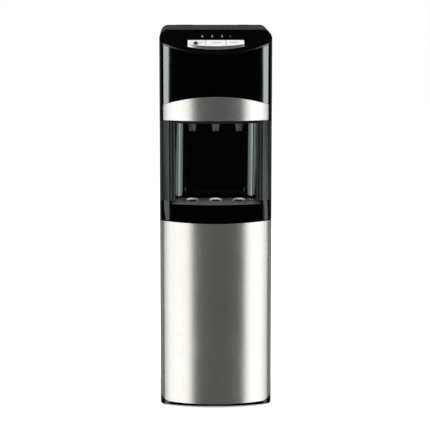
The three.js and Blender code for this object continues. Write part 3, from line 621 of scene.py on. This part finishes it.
def make_grille():
    """The plate, and round each hole a raised rim and a rubber sleeve."""
    outline = grille_outline(TRAY_HALF - 0.4, WALL + GAP)
    plate = prism("drain_grille", outline, TRAY_TOP - 2.8, TRAY_TOP + 0.2)
    for x, y, radius in DRAINS:
        carve(plate, turned("hole", [(0, -5), (radius, -5), (radius, 30), (0, 30)], (x, y, TRAY_TOP)))
    soften(plate, 0.35)
    dress(plate, "grille", "grey_plastic", stands_for=["drip_grille"])
    for name, (x, y, radius) in zip((*TAP_NAMES, "finger"), DRAINS):
        rim = splash_rim(name, x, y, radius)
        soften(rim, 0.5)
        # the rim material paints a highlight on the high back of each rim
        dress(rim, "grille", "grey_plastic", RIM_PAINTED_HIGHLIGHT)
        ring = [(radius - 0.4, -2.6), (radius + 0.2, -2.6), (radius + 0.2, 1.2), (radius - 0.4, 1.2)]
        sleeve = turned(f"drain_sleeve_{name}", ring, (x, y, TRAY_TOP))
        dress(sleeve, "grille", "rubber")


def splash_rim(name, x, y, radius, steps=64):
    """The rim of a drain hole, rising from nothing at its front to its full height at the back."""
    outer = radius + 2.4
    low = TRAY_TOP - 2
    start = TRAY_TOP + 0.25
    rise = 0.45
    points, faces = [], []
    for i in range(steps):
        angle = 2 * pi * i / steps
        for reach in (radius, outer):
            depth = reach * sin(angle)
            high = start + rise * radius * (depth + outer) / (2 * outer)
            points += [(x + reach * cos(angle), y + depth, z) for z in (low, high)]
        a = 4 * i
        b = 4 * ((i + 1) % steps)
        faces += [(a, b, b + 1, a + 1), (a + 2, a + 3, b + 3, b + 2)]
        faces += [(a + 1, b + 1, b + 3, a + 3), (a, a + 2, b + 2, b)]
    return mesh_object(f"splash_rim_{name}", points, faces)


def make_feet():
    """Rubber pads at the four corners."""
    profile = [(0, 0), (12, 0), (13.4, 0.5), (15, 2.4), (15, 7.2), (14.4, 7.7), (0, 7.7)]
    for end, y in (("front", -70), ("rear", 150)):
        for side, x in (("left", -125), ("right", 125)):
            foot = turned(f"pad_{end}_{side}", profile, (x, y, 0))
            soften(foot, 0.3)
            dress(foot, "cabinet", "rubber", stands_for=[f"foot_{end}_{side}"])


# ---- control deck -----------------------------------------------------------


def deck_matrix(x, up):
    """The deck's own frame at a point: x across, y up the slope, z out of its face."""
    angle = atan(DECK_SLOPE)
    place = Vector((x, FRONT + up * cos(angle), DECK_Z + up * sin(angle))) * MM
    return Matrix.Translation(place) @ Matrix.Rotation(angle, 4, "X")


def key_top(y):
    return KEY_TOP_BACK + KEY_SLOPE * (y - KEY_BACK)


def key_matrix(x, y):
    """The same for the sloping top of the keys."""
    angle = atan(KEY_SLOPE)
    place = Vector((x, y, key_top(y))) * MM
    return Matrix.Translation(place) @ Matrix.Rotation(angle, 4, "X")


def bar(name, half_x, half_y, height=0.08):
    """A thin printed bar with round ends, lying in its own XY plane."""
    outline = []
    for side in (1, -1):
        for i in range(9):
            angle = (-pi / 2 + pi * i / 8) + (0 if side > 0 else pi)
            outline.append((side * (half_x - half_y) + half_y * cos(angle), half_y * sin(angle)))
    return prism(name, outline, 0, height)


def make_prints():
    """Generic marks in place of the printed legends, on the keys and by the lenses."""
    legend_y = -147
    # how far the painted reflection on each key top stands proud
    painted_top_thick = 0.3
    for name, x, half in (("hot", -39, 6.5), ("room", 3, 13), ("cold", 49, 12)):
        mark = bar(f"legend_{name}", half, 1.1)
        mark.data.transform(key_matrix(x, legend_y) @ Matrix.Translation((0, 0, painted_top_thick * MM)))
        dress(mark, f"{name}_key", "grey_plastic", PRINT_GREY)
    for name in TAP_NAMES:
        low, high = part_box(f"lens_{name}")
        x = (low.x + high.x) / 2 / MM
        mark = bar(f"lens_mark_{name}", 2.2, 1.1)
        mark.data.transform(deck_matrix(x, LENS_UP + 5.6) @ Matrix.Rotation(pi / 2, 4, "Z"))
        dress(mark, "cabinet", "white_plastic", PRINT_GREY)
    ring = turned("ring_mark", [(1.9, 0), (2.6, 0), (2.6, 0.08), (1.9, 0.08)], segments=32)
    ring.data.transform(deck_matrix(40, LENS_UP))
    dress(ring, "cabinet", "white_plastic", PRINT_GREY)


def lock_place():
    """Where the lock button's axis meets the face of the hot key, and the axis itself."""
    angle = atan(KEY_SLOPE)
    return (LOCK_X, LOCK_Y, key_top(LOCK_Y)), Vector((0, -sin(angle), cos(angle)))


def make_key_top_reflections():
    """A pale patch let into the top of each key, a painted reflection of light from above on the silver
    key; in front of it the bare curved lip.
    """
    margin = 0.5
    lip = 1.6
    thick = 0.3
    steps = 12
    reach = FRONT_RADIUS - KEY_INSET - lip
    for name, (x0, x1) in KEY_SPANS.items():
        outline = [(x1 - margin, KEY_BACK - lip), (x0 + margin, KEY_BACK - lip)]
        for i in range(steps + 1):
            x = x0 + margin + (x1 - x0 - 2 * margin) * i / steps
            outline.append((x, FRONT_CENTRE - sqrt(reach ** 2 - x * x)))
        label = prism(f"label_{name}", outline, -thick, thick)
        for vertex in label.data.vertices:
            vertex.co.z += key_top(vertex.co.y / MM) * MM
        if name == "hot":
            hole = [(0, -5), (LOCK_HOLE, -5), (LOCK_HOLE, 5), (0, 5)]
            carve(label, turned("lock_hole", hole, *lock_place()))
        soften(label, 0.15)
        # near-white painted reflection over the silver key top
        dress(label, f"{name}_key", "silver_plastic", KEY_TOP_PAINTED_REFLECTION)


def make_lock_button():
    """A round button with a domed end."""
    profile = [(0, -LOCK_DEPTH), (LOCK_RADIUS, -LOCK_DEPTH)]
    for i in range(10):
        turn = radians(10 * i)
        profile.append((LOCK_RADIUS * cos(turn), LOCK_STAND + LOCK_RADIUS * sin(turn)))
    button = turned("lock_button", profile, *lock_place())
    dress(button, "child_lock", "red_plastic", stands_for=["child_lock_button"])


# ---- the back ---------------------------------------------------------------


def condenser_line():
    """The serpentine from its inlet down to its outlet, as the CAD tube runs."""
    runs, pitch, half, reach, top = 9, 48, 112, 26, 490
    bottom = top - (runs - 1) * pitch
    line = [(135, 519), (135, 512)]
    line += cubic((135, 512), (135, 496), (128, top), (half, top))
    for i in range(runs):
        sign = -1 if i % 2 else 1
        z = top - i * pitch
        line.append((-sign * half, z))
        if i < runs - 1:
            line += cubic(
                (-sign * half, z), (-sign * (half + reach), z),
                (-sign * (half + reach), z - pitch), (-sign * half, z - pitch),
            )
    line += cubic((-half, bottom), (-132, bottom), (-140, bottom + 8), (-140, bottom + 28))
    line.append((-140, 520))
    return [(x, CONDENSER_Y, z) for x, z in line]


def cubic(a, b, c, d, steps=16):
    """Points along a Bezier curve, without its first."""
    points = []
    for i in range(1, steps + 1):
        t = i / steps
        weights = ((1 - t) ** 3, 3 * t * (1 - t) ** 2, 3 * t * t * (1 - t), t ** 3)
        points.append(tuple(sum(w * p[k] for w, p in zip(weights, (a, b, c, d))) for k in (0, 1)))
    return points


def make_condenser():
    """The tube, and the upright wires welded to its front and its back."""
    tube_radius = 2.6
    wire_radius = 0.7
    tube = wires("condenser_tube", [condenser_line()], tube_radius)
    dress(tube, "cabinet", "painted_steel", stands_for=["condenser"])
    uprights = []
    for side in (-1, 1):
        y = CONDENSER_Y + (tube_radius + wire_radius) * side
        for x in range(-110, 111, 10):
            uprights.append([(x, y, 98), (x, y, 498)])
    dress(wires("condenser_wires", uprights, wire_radius), "cabinet", "painted_steel")


def make_screws():
    """Cross-head screws that hold the rear panels to the side flanges."""
    head = turned("screw", [(0, 0), (3.4, 0), (3.4, 0.5), (2.9, 1.1), (1.8, 1.5), (0, 1.6)], segments=32)
    for x, y in ((2, 0.35), (0.35, 2)):
        carve(head, block("cross", (-x, -y, 0.7), (x, y, 3)))
    head.data.transform(Matrix.Rotation(-pi / 2, 4, "X"))
    mesh = head.data
    bpy.data.objects.remove(head)
    for z in (60, 200, 340, 480, 600, 740, 880, 1000):
        for x in (-147, 147):
            screw = bpy.data.objects.new(f"screw_{'left' if x < 0 else 'right'}_{z}", mesh.copy())
            bpy.context.scene.collection.objects.link(screw)
            screw.data.transform(Matrix.Translation(Vector((x, REAR_FLANGE, z)) * MM))
            dress(screw, "cabinet", "galvanised_steel", SCREW_STEEL)


# ---- light, floor and camera ------------------------------------------------

CAMERA_AIM = Vector((0, 0, 0.518))
CAMERA_DISTANCE = 5.0
CAMERA_UP = radians(9)
CAMERA_SIDE = radians(-1)
FOCAL = 146.6
SENSOR = 36


def make_camera():
    """A long lens from a little above and a degree to the left."""
    camera = bpy.data.objects.new("camera", bpy.data.cameras.new("camera"))
    bpy.context.scene.collection.objects.link(camera)
    camera.data.lens = FOCAL
    camera.data.sensor_width = SENSOR
    back = Vector((
        sin(CAMERA_SIDE) * cos(CAMERA_UP), -cos(CAMERA_SIDE) * cos(CAMERA_UP), sin(CAMERA_UP),
    ))
    camera.location = CAMERA_AIM + CAMERA_DISTANCE * back
    camera.rotation_euler = (-back).to_track_quat("-Z", "Y").to_euler()
    bpy.context.scene.camera = camera


def make_world():
    """White all round, but dim in reflections, so that black gloss stays black."""
    world = bpy.data.worlds.new("studio")
    world.use_nodes = True
    bpy.context.scene.world = world
    tree = world.node_tree
    ray = add(tree, "ShaderNodeLightPath")
    strength = add(tree, "ShaderNodeMix", {"A": 1.0, "B": 0.006}, data_type="FLOAT")
    tree.links.new(ray.outputs["Is Glossy Ray"], strength.inputs["Factor"])
    background = tree.nodes["Background"]
    background.inputs["Color"].default_value = grey(1)
    tree.links.new(strength.outputs["Result"], background.inputs["Strength"])


def make_floor():
    reach = 9000
    floor = block("floor", (-reach, -reach, -20), (reach, reach, -0.5))
    pale = surface(
        "pale floor", grey(0.9), grey(0.92), (0.9, 0.95), 40, 0.02,
        Emission_Color=grey(1), Emission_Strength=0.35,
    )
    floor.data.materials.append(pale)
    floor.visible_glossy = False
    floor.visible_shadow = False


STRIP_TINT = (0.9, 0.98, 1)


def softbox(name, bearing, distance, height, size, radiance, receivers=None, tint=(1, 1, 1)):
    """An upright area light that faces the machine. bearing is measured from the front."""
    data = bpy.data.lights.new(name, "AREA")
    data.shape = "RECTANGLE"
    data.size, data.size_y = size
    data.energy = radiance * pi * size[0] * size[1]
    data.color = tint
    light = bpy.data.objects.new(name, data)
    bpy.context.scene.collection.objects.link(light)
    angle = radians(bearing)
    light.location = (distance * sin(angle), -distance * cos(angle), height)
    inward = Vector((-sin(angle), cos(angle), 0))
    light.rotation_euler = inward.to_track_quat("-Z", "Y").to_euler()
    light.visible_camera = False
    if receivers:
        light.light_linking.receiver_collection = receivers
    return light


def light_group(name, wanted):
    """The pieces that one light falls on. wanted(piece) picks them."""
    group = bpy.data.collections.new(name)
    for piece in bpy.data.objects:
        if piece.type in ("MESH", "CURVE") and wanted(piece):
            group.objects.link(piece)
    return group


def has(piece, *finishes):
    return any(holder.material in finishes for holder in piece.material_slots)


def make_lights():
    """Broad boxes for the steel, narrow strips for the dark parts and a glow in the niche.

    The bearings, sizes and radiances are set one by one, each for the reflection that it makes.
    """
    bright = FINISHES["stainless_steel"], FINISHES["silver_plastic"]
    steel = light_group("steel", lambda piece: has(piece, *bright))
    columns = light_group("columns", lambda piece: has(piece, COLUMN_GREY))
    liner = light_group("liner", lambda piece: piece == frame["nodes"]["niche_liner"])
    under_roof = light_group("under_roof", lambda piece: piece != frame["nodes"]["top_cover"])
    named = {piece.name for group in (steel, columns, liner) for piece in group.objects}
    others = light_group("others", lambda piece: piece.name not in named)

    softbox("wide_left", -40.7, 2.5, 0.5, (1.33, 5), 1.7, steel)
    softbox("wide_right", 44.9, 2.5, 0.5, (1.08, 5), 1.78, steel)
    softbox("front_fill", 0, 6, 0.5, (6, 8), 0.12, steel)
    for bearing in (-77, 77):
        softbox("flank", bearing, 3, 0.6, (2.1, 3), 0.25, steel)
    for bearing in (-54, 56):
        softbox("strip", bearing, 2.5, 1.25, (0.3, 1.6), 20, others, STRIP_TINT)
    for bearing in (-54.5, 57.5):
        softbox("low_strip", bearing, 2.5, -0.3, (0.2, 1.5), 4.5, others, STRIP_TINT)
    for bearing in (-53, 55.5):
        softbox("column_strip", bearing, 2.5, 0.3, (0.1, 3), 5.5, columns, STRIP_TINT)
    for bearing in (-118, 118):
        softbox("side", bearing, 3, 0.6, (2.4, 3), 0.35)
    softbox("rear", 180, 3, 0.9, (5, 1.22), 0.2)
    softbox("rear_fill", 180, 3, 0.9, (5, 1.22), 1.2, under_roof)
    glow = softbox("niche_glow", 180, 0, 0.685, (0.164, 0.23), 3.2, liner, STRIP_TINT)
    glow.location.y = -0.042


finish_cad_nodes()
make_door_skin()
make_band()
make_upper_panel()
make_taps()
make_grille()
make_feet()
make_key_top_reflections()
make_lock_button()
make_prints()
make_condenser()
make_screws()
make_camera()
make_world()
make_floor()
make_lights()
bpy.context.scene.view_settings.view_transform = "Standard"
